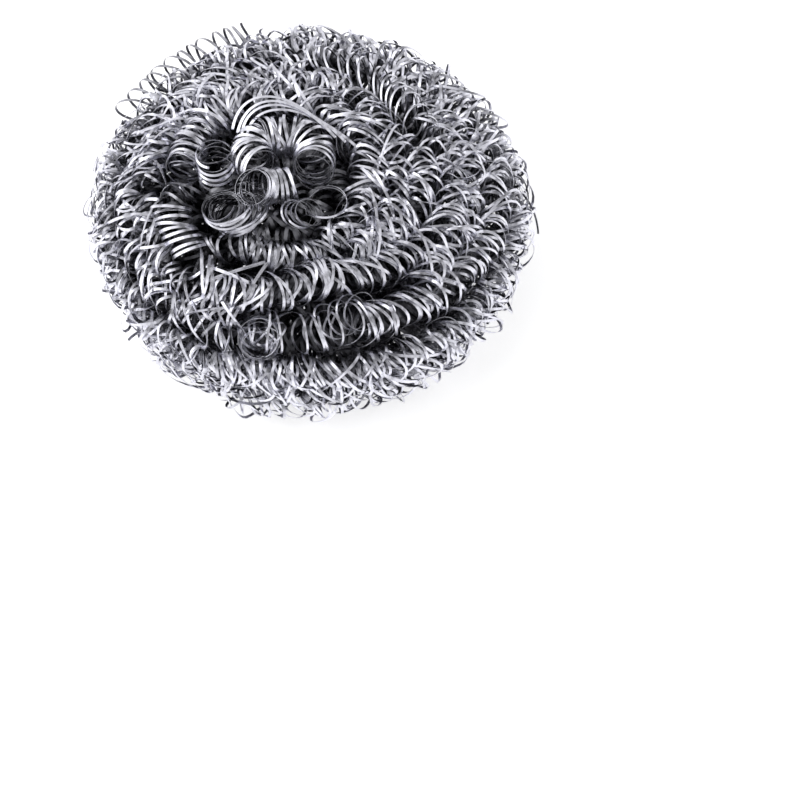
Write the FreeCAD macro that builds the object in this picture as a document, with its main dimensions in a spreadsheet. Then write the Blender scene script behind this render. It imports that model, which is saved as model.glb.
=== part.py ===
import FreeCAD
import Part
import math
import os
import Sketcher

# Pot scrubber: strands of curled steel ribbon wound into a flattened ball with a rosette on top.
# Millimetres. Z is up, the ball rests on z = 0, and the rosette leans to the left and the front (-X, -Y).
SIZES = (
    ("overall_diameter", 85.0),
    ("dome_rise", 16.5),
    ("rim_height", 18.0),
    ("strand_diameter", 8.0),
    ("lap_gap", 0.5),
    ("seat_gap", 0.4),
    ("end_gap", 1.2),
    ("base_flat_radius", 24.0),
    ("base_inner_radius", 10.6),
    ("end_curl_diameter", "=strand_diameter - lap_gap * 1.5"),
    ("curl_diameter", 7.4),
    ("rosette_radius", "=curl_diameter * 1.4"),
    ("rosette_left", 6.8),
    ("rosette_front", 3.4),
    ("start_azimuth", 245.0),
    ("ribbon_width", 1.0),
    ("ribbon_thickness", 0.3),
    ("ribbon_pitch", 2.1),
    ("loop_diameter", 6.8),
    ("loop_pitch", 4.2),
)
STRAND_SIDES = 10
ROUTE_STEPS = 240
LAP_STEPS = 48

doc = FreeCAD.newDocument("PotScrubber")
sheet = doc.addObject("Spreadsheet::Sheet", "Sizes")


def add_size(row, name, value):
    sheet.set("A%d" % row, name)
    sheet.set("B%d" % row, str(value))
    sheet.setAlias("B%d" % row, name)
    sheet.recompute()


for row, (name, value) in enumerate(SIZES, 1):
    add_size(row, name, value)


def size(name):
    return float(sheet.get(name))


strand_radius = size("strand_diameter") / 2
strand_flat = strand_radius * math.cos(math.pi / STRAND_SIDES)
lap_pitch = size("strand_diameter") + size("lap_gap")
rim_radius = size("overall_diameter") / 2 - strand_flat
rim_height = size("rim_height")
dome_rise = size("dome_rise")
base_flat = size("base_flat_radius")
# The lowest strand is pressed flat on the table, so a tenth of its diameter is cut away there.
base_height = strand_flat - size("strand_diameter") / 10
inset = strand_radius + size("seat_gap")
# The winding starts outside the ring of curls that stand in the rosette.
start_radius = size("rosette_radius") + size("curl_diameter") / 2 + size("seat_gap")
apex = FreeCAD.Vector(-size("rosette_left"), -size("rosette_front"), 0)


# Outline of the strand centre lines: radius, height and share of the rosette's lean
def dome_point(angle):
    return rim_radius * math.cos(angle), rim_height + dome_rise * math.sin(angle), math.sin(angle)


def belly_point(angle):
    radius = base_flat + (rim_radius - base_flat) * math.cos(angle)
    return radius, rim_height - (rim_height - base_height) * math.sin(angle), 0.0


def run_lengths(points):
    total = [0.0]
    for (r0, z0), (r1, z1) in zip(points, points[1:]):
        total.append(total[-1] + math.hypot(r1 - r0, z1 - z0))
    return total


def between(runs, points, distance):
    last = len(runs) - 2
    i = 0
    while i < last and distance > runs[i + 1]:
        i += 1
    share = (distance - runs[i]) / (runs[i + 1] - runs[i])
    return [a + (b - a) * share for a, b in zip(points[i], points[i + 1])]


top_angle = math.acos(start_radius / rim_radius)
outline = [dome_point(top_angle * (1 - i / ROUTE_STEPS)) for i in range(ROUTE_STEPS)]
outline += [belly_point(math.pi / 2 * i / ROUTE_STEPS) for i in range(ROUTE_STEPS + 1)]
outline.append((size("base_inner_radius"), base_height, 0.0))
# Laps lie closest on the side that the rosette leans to, so the pitch is measured there, straight across.
tight_side = [(radius + apex.Length * lean, height) for radius, height, lean in outline]
runs = run_lengths(tight_side)


def next_lap(distance):
    here = between(runs, tight_side, distance)
    near = distance
    far = distance + 2 * lap_pitch
    for i in range(24):
        middle = (near + far) / 2
        if math.dist(here, between(runs, tight_side, middle)) < lap_pitch:
            near = middle
        else:
            far = middle
    return far


lap_runs = [next_lap(0.0) * i / LAP_STEPS for i in range(LAP_STEPS)]
while lap_runs[-1] < runs[-1]:
    lap_runs.append(next_lap(lap_runs[-LAP_STEPS]))
lap_numbers = [(i / LAP_STEPS,) for i in range(len(lap_runs))]
total_laps = between(lap_runs, lap_numbers, runs[-1])[0]


def outline_at(lap):
    i = min(int(lap * LAP_STEPS), len(lap_runs) - 2)
    share = lap * LAP_STEPS - i
    return between(runs, outline, lap_runs[i] + (lap_runs[i + 1] - lap_runs[i]) * share)


def lap_azimuth(lap):
    return math.radians(size("start_azimuth")) + 2 * math.pi * lap


def lap_point(lap):
    radius, height, lean = outline_at(lap)
    azimuth = lap_azimuth(lap)
    return FreeCAD.Vector(radius * math.cos(azimuth), radius * math.sin(azimuth), height) + apex * lean


def unit(vector):
    return FreeCAD.Vector(vector).normalize()


def lap_direction(lap):
    step = 0.01
    return unit(lap_point(lap + step) - lap_point(lap - step))


def laps_for(lap, length):
    step = 0.005
    return 2 * step * length / (lap_point(lap + step) - lap_point(lap - step)).Length


# Straight out of the ball, across the strand and across the lines that run from the rosette to the rim
def out_of_ball(lap):
    step = 0.01
    near_radius, near_height, near_lean = outline_at(lap - step)
    far_radius, far_height, far_lean = outline_at(lap + step)
    azimuth = lap_azimuth(lap)
    spoke = FreeCAD.Vector(math.cos(azimuth), math.sin(azimuth), 0)
    across = spoke * (far_radius - near_radius) + apex * (far_lean - near_lean)
    across.z = far_height - near_height
    return unit(lap_direction(lap).cross(across)) * -1


# Each pair of points is joined by two arcs that keep both directions.
def arc_edge(start, direction, end):
    chord = end - start
    along = unit(chord)
    cosine = max(-1.0, min(1.0, direction.dot(along)))
    bulge = direction - along * cosine
    sagitta = chord.Length / 2 * math.tan(math.acos(cosine) / 2)
    return Part.Arc(start, start + chord * 0.5 + unit(bulge) * sagitta, end).toShape()


def biarc_wire(points, directions):
    edges = []
    for p0, t0, p1, t1 in zip(points, directions, points[1:], directions[1:]):
        chord = p1 - p0
        both = chord.dot(t0 + t1)
        bend = 2 * (1 - t0.dot(t1))
        reach = (math.sqrt(both * both + bend * chord.dot(chord)) - both) / bend
        near = p0 + t0 * reach
        far = p1 - t1 * reach
        middle = (near + far) * 0.5
        edges.append(arc_edge(p0, t0, middle))
        edges.append(arc_edge(middle, unit(far - near), p1))
    return Part.Wire(edges)


def strand_section(centre, direction):
    side = unit(direction.cross(FreeCAD.Vector(0, 0, 1)))
    up = side.cross(direction)
    corners = []
    for i in range(STRAND_SIDES + 1):
        turn = 2 * math.pi * (i + 0.5) / STRAND_SIDES
        corners.append(centre + (side * math.cos(turn) + up * math.sin(turn)) * strand_radius)
    return Part.makePolygon(corners)


def print_least_gap(label, points, apart, thickness):
    pairs = [(first, second) for i, first in enumerate(points) for second in points[i + apart:]]
    gaps = [first.distanceToPoint(second) for first, second in pairs]
    if gaps:
        print(label, "least gap to itself %.2f mm" % (min(gaps) - thickness))


def wind_strand(label, first, last):
    steps = max(2, math.ceil((last - first) * 4))
    laps = [first + (last - first) * i / steps for i in range(steps + 1)]
    points = [lap_point(lap) for lap in laps]
    directions = [lap_direction(lap) for lap in laps]
    wire = biarc_wire(points, directions)
    strand = doc.addObject("Part::Feature", label)
    strand.Shape = wire.makePipeShell([strand_section(points[0], directions[0])], True)
    route = [lap_point(first + (last - first) * i / ROUTE_STEPS) for i in range(ROUTE_STEPS + 1)]
    half_turn = round(ROUTE_STEPS * 0.5 / (last - first))
    print_least_gap(label, route, half_turn, size("strand_diameter"))
    return strand


# Curls: flat ribbon wound round a straight axis, the open strand ends that show on the ball
def curl_section(body, label, diameter):
    outer = size(diameter) / 2
    inner = outer - size("ribbon_thickness")
    width = size("ribbon_width")
    corners = [
        FreeCAD.Vector(inner, 0, 0),
        FreeCAD.Vector(outer, 0, 0),
        FreeCAD.Vector(outer, width, 0),
        FreeCAD.Vector(inner, width, 0),
    ]
    sketch = body.newObject("Sketcher::SketchObject", label + "_section")
    plane = [item for item in body.Origin.OriginFeatures if item.Role == "XZ_Plane"][0]
    sketch.AttachmentSupport = [(plane, "")]
    sketch.MapMode = "FlatFace"
    for i in range(4):
        sketch.addGeometry(Part.LineSegment(corners[i], corners[(i + 1) % 4]))
    for i in range(4):
        sketch.addConstraint(Sketcher.Constraint("Coincident", i, 2, (i + 1) % 4, 1))
    sketch.addConstraint(Sketcher.Constraint("PointOnObject", 0, 1, -1))
    for line in (0, 2):
        sketch.addConstraint(Sketcher.Constraint("Horizontal", line))
    for line in (1, 3):
        sketch.addConstraint(Sketcher.Constraint("Vertical", line))
    reach = sketch.addConstraint(Sketcher.Constraint("DistanceX", -1, 1, 0, 2, outer))
    thick = sketch.addConstraint(Sketcher.Constraint("DistanceX", 0, 1, 0, 2, outer - inner))
    wide = sketch.addConstraint(Sketcher.Constraint("DistanceY", 1, 1, 1, 2, width))
    sketch.setExpression("Constraints[%d]" % reach, "Sizes.%s / 2" % diameter)
    sketch.setExpression("Constraints[%d]" % thick, "Sizes.ribbon_thickness")
    sketch.setExpression("Constraints[%d]" % wide, "Sizes.ribbon_width")
    return sketch


def make_curl(label, turns, diameter, pitch, origin, axis):
    body = doc.addObject("PartDesign::Body", label)
    helix = body.newObject("PartDesign::AdditiveHelix", label + "_turns")
    helix.Profile = curl_section(body, label, diameter)
    helix.ReferenceAxis = (helix.Profile[0], ["V_Axis"])
    helix.Mode = "pitch-turns-angle"
    helix.setExpression("Pitch", "Sizes.%s" % pitch)
    helix.Turns = turns
    body.Tip = helix
    turned = FreeCAD.Rotation(FreeCAD.Vector(0, 0, 1), math.degrees(math.atan2(axis.y, axis.x)))
    tilted = FreeCAD.Rotation(FreeCAD.Vector(0, 1, 0), math.degrees(math.acos(axis.z)))
    body.Placement = FreeCAD.Placement(origin, turned * tilted)
    route = []
    for i in range(turns * 24 + 1):
        turn = 2 * math.pi * i / 24
        radius = size(diameter) / 2
        rise = size(pitch) * i / 24
        route.append(FreeCAD.Vector(radius * math.cos(turn), radius * math.sin(turn), rise))
    print_least_gap(label, route, 12, size("ribbon_width"))
    return body


def leaning(azimuth, tilt):
    flat = math.sin(math.radians(tilt))
    turn = math.radians(azimuth)
    return FreeCAD.Vector(flat * math.cos(turn), flat * math.sin(turn), math.cos(math.radians(tilt)))


def curl_length(turns, pitch):
    return turns * size(pitch) + size("ribbon_width")


# Strands follow one winding from the rosette to the underside, and two gaps in it hold open ends.
# A lap number counts turns from the start of the winding, so its fraction is a place round the ball.
LEFT_LAP = 0.80
LEFT_TURNS = 5
FRONT_LAP = 2.0
FRONT_LOOPS = 3
UPPER_RIM_LAP = 3.1
RIM_LAP = 4.0
LOWER_RIM_LAP = 4.85
end_gap = size("end_gap")
left_end = LEFT_LAP + laps_for(LEFT_LAP, curl_length(LEFT_TURNS, "ribbon_pitch") + 4 * end_gap)
front_room = size("end_curl_diameter") + curl_length(FRONT_LOOPS, "loop_pitch") + 5 * end_gap
front_end = FRONT_LAP + laps_for(FRONT_LAP, front_room)
WINDING = (
    ("shoulder_strand", 0.0, LEFT_LAP),
    ("upper_side_strand", left_end, FRONT_LAP),
    ("upper_rim_strand", front_end, UPPER_RIM_LAP),
    ("rim_strand", UPPER_RIM_LAP, RIM_LAP),
    ("lower_rim_strand", RIM_LAP, LOWER_RIM_LAP),
    ("base_strand", LOWER_RIM_LAP, total_laps),
)
pieces = [wind_strand(label, first, last - laps_for(last, end_gap)) for label, first, last in WINDING]

# Strands that reach the table are pressed flat on it.
floor = doc.addObject("Part::Box", "floor_cut")
floor.setExpression("Length", "Sizes.overall_diameter * 2")
floor.setExpression("Width", "Sizes.overall_diameter * 2")
floor.setExpression("Height", "Sizes.strand_diameter")
floor.setExpression("Placement.Base.x", "-Sizes.overall_diameter")
floor.setExpression("Placement.Base.y", "-Sizes.overall_diameter")
floor.setExpression("Placement.Base.z", "-Sizes.strand_diameter")
uncut_strands = pieces[-2:]
pieces = pieces[:-2]
for uncut in uncut_strands:
    name = uncut.Label
    uncut.Label = name + "_uncut"
    strand = doc.addObject("Part::Cut", name + "_cut")
    strand.Base = uncut
    strand.Tool = floor
    strand.Label = name
    pieces.append(strand)


# Heart: the inner laps as one plain core that the outer strands lie on
def clearance(radius, height, lean):
    gaps = []
    for side in (-apex.Length, 0.0, apex.Length):
        place = (radius + side * lean, height)
        gaps += [math.dist(place, (other + side * shift, level)) for other, level, shift in outline]
    return min(gaps)


# A ring lies straight in from the outline, far enough to clear the strands on every side of the ball.
def inset_ring(point, angle, width, rise):
    radius, height, lean = point
    normal_r = math.cos(angle) / width
    normal_z = math.sin(angle) / rise
    steep = math.hypot(normal_r, normal_z)
    depth = inset
    while clearance(radius - depth * normal_r / steep, height - depth * normal_z / steep, lean) < inset:
        depth += size("seat_gap") / 20
    return radius - depth * normal_r / steep, height - depth * normal_z / steep, lean


heart_rings = []
for share in (1.0, 0.6, 0.3):
    angle = math.pi / 2 * share
    ring = inset_ring(belly_point(angle), angle, rim_radius - base_flat, base_height - rim_height)
    heart_rings.append(ring)
for share in (0.0, 0.25, 0.5, 0.75, 1.0):
    angle = top_angle * share
    heart_rings.append(inset_ring(dome_point(angle), angle, rim_radius, dome_rise))
circles = []
for i, (radius, height, lean) in enumerate(heart_rings):
    circle = doc.addObject("Part::Circle", "heart_ring_%d" % i)
    circle.Radius = radius
    circle.Placement.Base = FreeCAD.Vector(0, 0, height) + apex * lean
    circles.append(circle)
heart = doc.addObject("Part::Loft", "heart_core")
heart.Sections = circles
heart.Solid = True
heart.Ruled = True
doc.recompute()
pieces.append(heart)
heart_top = heart_rings[-1][1]
rosette = apex * heart_rings[-1][2]

# Rosette curls stand on the heart: name, turns, place round the middle, place out from it, way it leans and
# how far its top leans out. Both lengths are shares of the rosette's radius.
ROSETTE = (
    ("crown_curl_left", 4, 98.0, 1.0, 268.0, 0.34),
    ("crown_curl_right", 4, 42.0, 0.98, 250.0, 0.45),
    ("centre_curl", 4, 20.0, 0.19, 212.0, 0.65),
    ("standing_curl", 4, 152.0, 1.02, 90.0, 0.19),
    ("front_curl", 4, 210.0, 0.9, 192.0, 0.45),
)
for label, turns, azimuth, place, lean_azimuth, lean in ROSETTE:
    rosette_radius = size("rosette_radius")
    tilt = math.degrees(math.asin(lean * rosette_radius / curl_length(turns, "ribbon_pitch")))
    origin = rosette + leaning(azimuth, 90.0) * (place * rosette_radius)
    drop = size("curl_diameter") / 2 * math.sin(math.radians(tilt))
    origin.z = heart_top + size("seat_gap") + drop
    axis = leaning(lean_azimuth, tilt)
    pieces.append(make_curl(label, turns, "curl_diameter", "ribbon_pitch", origin, axis))

# Two loose loops stand upright against the inside of the first strand.
LOOSE_LAP = 0.232
beside = lap_point(LOOSE_LAP) - rosette
beside.z = 0
room = beside.Length - strand_radius - size("loop_diameter") / 2 - size("lap_gap")
origin = rosette + unit(beside) * room
origin.z = heart_top + size("seat_gap")
upright = FreeCAD.Vector(0, 0, 1)
pieces.append(make_curl("loose_rosette_loops", 2, "loop_diameter", "loop_pitch", origin, upright))


# A curl that lies along a gap in the winding, seated on the heart
def lay_curl(label, turns, diameter, pitch, first, last):
    middle = (first + last) / 2
    axis = unit(lap_point(last) - lap_point(first))
    length = curl_length(turns, pitch)
    origin = lap_point(middle) - axis * (length / 2)
    line = Part.makeLine(origin, origin + axis * length)
    drop = line.distToShape(heart.Shape)[0] - size(diameter) / 2 - size("seat_gap")
    origin -= out_of_ball(middle) * drop
    pieces.append(make_curl(label, turns, diameter, pitch, origin, axis))


lay_curl("left_side_curl", LEFT_TURNS, "end_curl_diameter", "ribbon_pitch", LEFT_LAP, left_end)

# In the front gap one curl points out of the ball and has sprung open to fill the room between the laps on
# both sides. Beside it the ribbon has sprung into loose loops.
out_reach = end_gap + size("end_curl_diameter") / 2
out_lap = FRONT_LAP + laps_for(FRONT_LAP, out_reach)
above = lap_point(out_lap - 1)
below = lap_point(out_lap + 1)
room = (below - above).Length - size("strand_diameter") - 2 * size("lap_gap")
add_size(len(SIZES) + 1, "front_curl_diameter", room)
out_axis = unit((below - above).cross(lap_direction(out_lap)))
out_origin = (above + below) * 0.5
pieces.append(make_curl("front_end_curl", 3, "front_curl_diameter", "ribbon_pitch", out_origin, out_axis))
loops_start = out_lap + laps_for(out_lap, out_reach)
lay_curl("loose_front_loops", FRONT_LOOPS, "loop_diameter", "loop_pitch", loops_start, front_end)

doc.recompute()
for item in doc.Objects:
    if "Invalid" in item.State or "Error" in item.State:
        raise RuntimeError("%s did not recompute: %s" % (item.Label, item.State))
os.makedirs("parts", exist_ok=True)
for item in pieces:
    if item.Shape.isNull() or not item.Shape.isValid() or len(item.Shape.Solids) != 1:
        raise RuntimeError("%s has no valid solid" % item.Label)
    item.Shape.exportStep("parts/%s.step" % item.Label)
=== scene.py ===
# %% [markdown]
# # A steel pot scrubber
# The scrubber is a few long strands of curled steel ribbon, wound into a flattened ball with a rosette on top.
# This lesson rebuilds every strand as real ribbon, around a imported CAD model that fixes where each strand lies.
# The CAD tubes stay for collision, and each of them is hidden behind the ribbon that stands for it.

# %% The frame
import math

import bpy
import numpy as np
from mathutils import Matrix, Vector


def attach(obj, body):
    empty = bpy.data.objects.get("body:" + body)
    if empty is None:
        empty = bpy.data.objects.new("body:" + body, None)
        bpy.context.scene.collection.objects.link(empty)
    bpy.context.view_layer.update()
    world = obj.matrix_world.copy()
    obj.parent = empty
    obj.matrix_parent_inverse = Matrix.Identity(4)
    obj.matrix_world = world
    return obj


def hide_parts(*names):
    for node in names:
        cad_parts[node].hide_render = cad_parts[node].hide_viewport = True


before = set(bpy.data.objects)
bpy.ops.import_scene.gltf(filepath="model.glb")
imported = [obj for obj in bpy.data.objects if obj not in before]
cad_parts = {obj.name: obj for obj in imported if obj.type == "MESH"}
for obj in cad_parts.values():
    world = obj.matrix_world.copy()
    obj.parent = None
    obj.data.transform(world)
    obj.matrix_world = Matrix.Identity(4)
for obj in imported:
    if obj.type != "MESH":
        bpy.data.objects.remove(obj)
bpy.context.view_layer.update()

# %% [markdown]
# ## Where the strands lie
# All strands follow one winding, from the rosette over the rim to the underside. Points could be read off the CAD
# tubes, but a formula is exact and short, so the winding is worked out again here from the same sizes.
# The outline runs down the ball as radius, height and lean: the rosette sits a little to the left and the front.

# %% Outline of the ball
MM = 0.001
STRAND_RADIUS = 4.0 * MM
STRAND_FLAT = STRAND_RADIUS * math.cos(math.pi / 10)
RIM_RADIUS = 42.5 * MM - STRAND_FLAT
RIM_HEIGHT = 18.0 * MM
DOME_RISE = 16.5 * MM
BASE_RADIUS = 24.0 * MM
BASE_HEIGHT = STRAND_FLAT - 0.8 * MM
BASE_END = 10.6 * MM
START_RADIUS = 14.46 * MM
APEX = np.array([-6.8, -3.4, 0.0]) * MM
STEPS = 240

dome_angle = math.acos(START_RADIUS / RIM_RADIUS) * (1 - np.arange(STEPS) / STEPS)
dome_lean = np.sin(dome_angle)
dome = np.stack([RIM_RADIUS * np.cos(dome_angle), RIM_HEIGHT + DOME_RISE * dome_lean, dome_lean], 1)
belly_angle = math.pi / 2 * np.arange(STEPS + 1) / STEPS
belly_radius = BASE_RADIUS + (RIM_RADIUS - BASE_RADIUS) * np.cos(belly_angle)
belly_height = RIM_HEIGHT - (RIM_HEIGHT - BASE_HEIGHT) * np.sin(belly_angle)
belly = np.stack([belly_radius, belly_height, 0 * belly_angle], 1)
outline = np.vstack([dome, belly, [[BASE_END, BASE_HEIGHT, 0.0]]])
tight_side = np.stack([outline[:, 0] + np.linalg.norm(APEX) * outline[:, 2], outline[:, 1]], 1)
runs = np.concatenate([[0.0], np.cumsum(np.hypot(*np.diff(tight_side, axis=0).T))])
print("outline", round(runs[-1] / MM, 1), "mm from rosette to underside")

# %% Run from lap to lap
LAP_PITCH = 8.5 * MM
LAP_STEPS = 48
HALVINGS = 24


def tight_point(run):
    past = max(0.0, run - runs[-1])
    return np.interp(run, runs, tight_side[:, 0]) - past, np.interp(run, runs, tight_side[:, 1])


def next_lap(run):
    here = tight_point(run)
    near = run
    far = run + 2 * LAP_PITCH
    for _ in range(HALVINGS):
        middle = (near + far) / 2
        if math.dist(here, tight_point(middle)) < LAP_PITCH:
            near = middle
        else:
            far = middle
    return far


lap_runs = [next_lap(0.0) * i / LAP_STEPS for i in range(LAP_STEPS)]
while lap_runs[-1] < runs[-1]:
    lap_runs.append(next_lap(lap_runs[-LAP_STEPS]))
print("winding followed in", len(lap_runs), "steps")

# %% Points on the laps
START_AZIMUTH = math.radians(245.0)


def outline_at(laps):
    run = np.interp(laps * LAP_STEPS, np.arange(len(lap_runs)), lap_runs)
    return [np.interp(run, runs, column) for column in outline.T]


def lap_points(laps):
    radius, height, lean = outline_at(laps)
    azimuth = START_AZIMUTH + 2 * math.pi * laps
    flat = np.stack([radius * np.cos(azimuth), radius * np.sin(azimuth), height], -1)
    return flat + lean[..., None] * APEX


TOTAL_LAPS = float(np.interp(runs[-1], lap_runs, np.arange(len(lap_runs)) / LAP_STEPS))
print("winding of", round(TOTAL_LAPS, 2), "laps")

# %% [markdown]
# ## An axis to wind round
# A coil needs a line to follow and two directions across it. On the ball one of them points straight out of
# the surface, so that a turn's outer side can be told from its hidden side. On a free curl the two directions
# are only carried along the line without twisting, and rings that all look one way share one fixed normal.

# %% An axis and its cross directions
TINY = 1e-12


def unit(vectors):
    return vectors / np.maximum(np.linalg.norm(vectors, axis=-1, keepdims=True), TINY)


def square_to(along, vectors):
    return unit(vectors - (vectors * along).sum(1)[:, None] * along)


def run_along(points):
    return np.concatenate([[0.0], np.cumsum(np.linalg.norm(np.diff(points, axis=0), axis=1))])


class Axis:
    def __init__(self, points, out):
        self.points = points
        self.along = unit(np.gradient(points, axis=0))
        self.out = square_to(self.along, out)
        self.side = np.cross(self.along, self.out)
        self.run = run_along(points)
        self.length = float(self.run[-1])

    def read(self, values, run):
        return np.stack([np.interp(run, self.run, column) for column in values.T], 1)


print("first lap runs", round(run_along(lap_points(np.linspace(0.0, 1.0, 100)))[-1] / MM, 1), "mm")

# %% Axes along the laps
LEAST_POINTS = 24
POINTS_PER_LAP = 160
LAP_STEP = 0.01
UP = np.array([0.0, 0.0, 1.0])


def lap_axis(first, last, inset=0.0):
    laps = np.linspace(first, last, max(LEAST_POINTS, int(POINTS_PER_LAP * (last - first))))
    points = lap_points(laps)
    before, after = (
        np.stack(outline_at(np.clip(laps + step, 0.0, TOTAL_LAPS)), 1) for step in (-LAP_STEP, LAP_STEP)
    )
    change = after - before
    azimuth = START_AZIMUTH + 2 * math.pi * laps
    spoke = np.stack([np.cos(azimuth), np.sin(azimuth), 0 * azimuth], 1)
    across = spoke * change[:, :1] + APEX * change[:, 2:] + UP * change[:, 1:2]
    out = unit(np.cross(across, np.gradient(points, axis=0)))
    axis = Axis(points - out * inset, out)
    axis.laps = laps
    return axis


print("axis of the first strand", round(lap_axis(0.0, 0.8).length / MM, 1), "mm long")

# %% Axes of free curls
CURL_POINTS = 60
RING_POINTS = 40
NO_CURL_RUNS_HERE = (0.31, 0.47, 0.83)


def bent_axis(start, start_pull, end_pull, end):
    share = np.linspace(0.0, 1.0, CURL_POINTS)[:, None]
    rest = 1 - share
    p0, p1, p2, p3 = (np.array(p) * MM for p in (start, start_pull, end_pull, end))
    points = rest**3 * p0 + 3 * rest**2 * share * p1 + 3 * rest * share**2 * p2 + share**3 * p3
    along = unit(np.gradient(points, axis=0))
    out = [unit(np.cross(along[0], NO_CURL_RUNS_HERE))]
    for direction in along[1:]:
        out.append(unit(out[-1] - (out[-1] @ direction) * direction))
    return Axis(points, np.array(out))


def facing_axis(start, end, normal):
    share = np.linspace(0.0, 1.0, RING_POINTS)[:, None]
    points = np.array(start) * MM * (1 - share) + np.array(end) * MM * share
    axis = Axis(points, np.tile(NO_CURL_RUNS_HERE, (RING_POINTS, 1)))
    axis.along = np.tile(unit(np.array(normal, float)), (RING_POINTS, 1))
    axis.side = unit(np.cross(axis.along, [1.0, 0.0, 0.0]))
    axis.out = np.cross(axis.side, axis.along)
    return axis


print("free curls on", CURL_POINTS, "points, rings on", RING_POINTS)

# %% [markdown]
# ## Ribbon
# The real ribbon is steel wire rolled flat, about half a millimetre wide and a seventh as thick. A curve with a
# bevel could make it, but its flat side would twist with the curve's own normals. Here each ribbon is a thin
# closed strip of four-sided rings, built from arrays, with its flat side turned away from the middle of its
# coil. The long edges are marked sharp, so that a flat side shines as one plane across and smoothly along.

# %% Strips of ribbon
RIBBON_WIDTH = 0.55 * MM
RIBBON_THICKNESS = 0.075 * MM
FLOOR_CLEARANCE = 0.5 * MM


def strip(points, facing, depth, inner_depth, tone, width=RIBBON_WIDTH):
    points = points.copy()
    points[:, 2] = np.maximum(points[:, 2], FLOOR_CLEARANCE)
    along = unit(np.gradient(points, axis=0))
    facing = square_to(along, facing)
    across = np.cross(along, facing) * (width / 2)
    lift = facing * (RIBBON_THICKNESS / 2)
    left, right = points - across, points + across
    # painted shade for the outer and the inner face of the ribbon, kept per corner
    outer = np.broadcast_to(depth, len(points))
    inner = np.broadcast_to(inner_depth, len(points))
    return {
        "rings": np.stack([left + lift, right + lift, right - lift, left - lift], 1),
        "run": run_along(points),
        "tone": tone,
        "depth": np.stack([outer, outer, inner, inner], 1),
    }


def strip_faces(count, first):
    start = first + 4 * np.arange(count - 1)[:, None]
    corner = np.arange(4)
    after = (corner + 1) % 4
    sides = np.stack([start + corner, start + after, start + 4 + after, start + 4 + corner], -1)
    ends = np.array([[first + 3, first + 2, first + 1, first], 4 * (count - 1) + first + corner])
    return sides.reshape(-1, 4), ends


print("ribbon", RIBBON_WIDTH / MM, "by", RIBBON_THICKNESS / MM, "mm")

# %% [markdown]
# ## Steel
# Rolled steel ribbon is bright, with fine lines from the rolls along it, soft waves from being curled, and slow
# changes of tone from dirt and handling, and it carries painted shade where it lies deep in a coil. A picture
# could hold all that, but ribbon this long would need a huge one. These effects serve the bright outer ribbon and
# a darker copy of it, whose darkness is painted shade, for the ribbon inside the ball, so each is a node group
# with its own inputs, and each material gives it other values.

# %% Node helpers


def new_group(name, sockets):
    group = bpy.data.node_groups.new(name, "ShaderNodeTree")
    for label, way, kind in sockets:
        group.interface.new_socket(label, in_out=way, socket_type=kind)
    return group, group.nodes.new("NodeGroupInput"), group.nodes.new("NodeGroupOutput")


def add_node(tree, kind, **values):
    node = tree.nodes.new(kind)
    for name, value in values.items():
        setattr(node, name, value)
    return node


def attribute_of(tree, name):
    return add_node(tree, "ShaderNodeAttribute", attribute_name=name).outputs["Fac"]


def reckon(tree, operation, *values, clamp=False):
    node = add_node(tree, "ShaderNodeMath", operation=operation, use_clamp=clamp)
    for socket, value in zip(node.inputs, values):
        if isinstance(value, bpy.types.NodeSocket):
            tree.links.new(value, socket)
        else:
            socket.default_value = value
    return node.outputs["Value"]


print("helpers for", bpy.app.version_string)

# %% Tone and painted shade of the steel
OWN_TONE_SHARE = 0.31
OWN_TONE_START = -0.18

tone_and_shade_group, given, result = new_group(
    "SteelToneAndPaintedShade",
    (
        ("Shade Color", "INPUT", "NodeSocketColor"),
        ("Bright", "INPUT", "NodeSocketColor"),
        ("Patch Size", "INPUT", "NodeSocketFloat"),
        ("Patch Share", "INPUT", "NodeSocketFloat"),
        ("Color", "OUTPUT", "NodeSocketColor"),
    ),
)
link = tone_and_shade_group.links.new
coordinates = add_node(tone_and_shade_group, "ShaderNodeTexCoord")
patches = add_node(tone_and_shade_group, "ShaderNodeTexNoise")
patches.inputs["Detail"].default_value = 3.0
link(coordinates.outputs["Object"], patches.inputs["Vector"])
link(given.outputs["Patch Size"], patches.inputs["Scale"])
centred = reckon(tone_and_shade_group, "SUBTRACT", patches.outputs["Fac"], 0.5)
patch_part = reckon(tone_and_shade_group, "MULTIPLY", centred, given.outputs["Patch Share"])
own_tone = attribute_of(tone_and_shade_group, "ribbon_tone")
own_part = reckon(tone_and_shade_group, "MULTIPLY_ADD", own_tone, OWN_TONE_SHARE, OWN_TONE_START)
uneven = reckon(tone_and_shade_group, "ADD", patch_part, own_part)
# painted shade: a per-point attribute pulls the colour towards the dark colour where the ribbon lies deep in its
# coil
unshaded = reckon(tone_and_shade_group, "SUBTRACT", 1.0, attribute_of(tone_and_shade_group, "ribbon_depth"))
brightness = reckon(tone_and_shade_group, "ADD", unshaded, uneven, clamp=True)
mix = add_node(tone_and_shade_group, "ShaderNodeMix", data_type="RGBA")
link(brightness, mix.inputs["Factor"])
link(given.outputs["Shade Color"], mix.inputs["A"])
link(given.outputs["Bright"], mix.inputs["B"])
link(mix.outputs["Result"], result.inputs["Color"])
print(tone_and_shade_group.name, "with", len(tone_and_shade_group.nodes), "nodes")

# %% Roll lines and waves
LINE_STRETCH = (600.0, 4.0, 37.0)
WAVE_STRETCH = (480.0, 0.0, 37.0)


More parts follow.
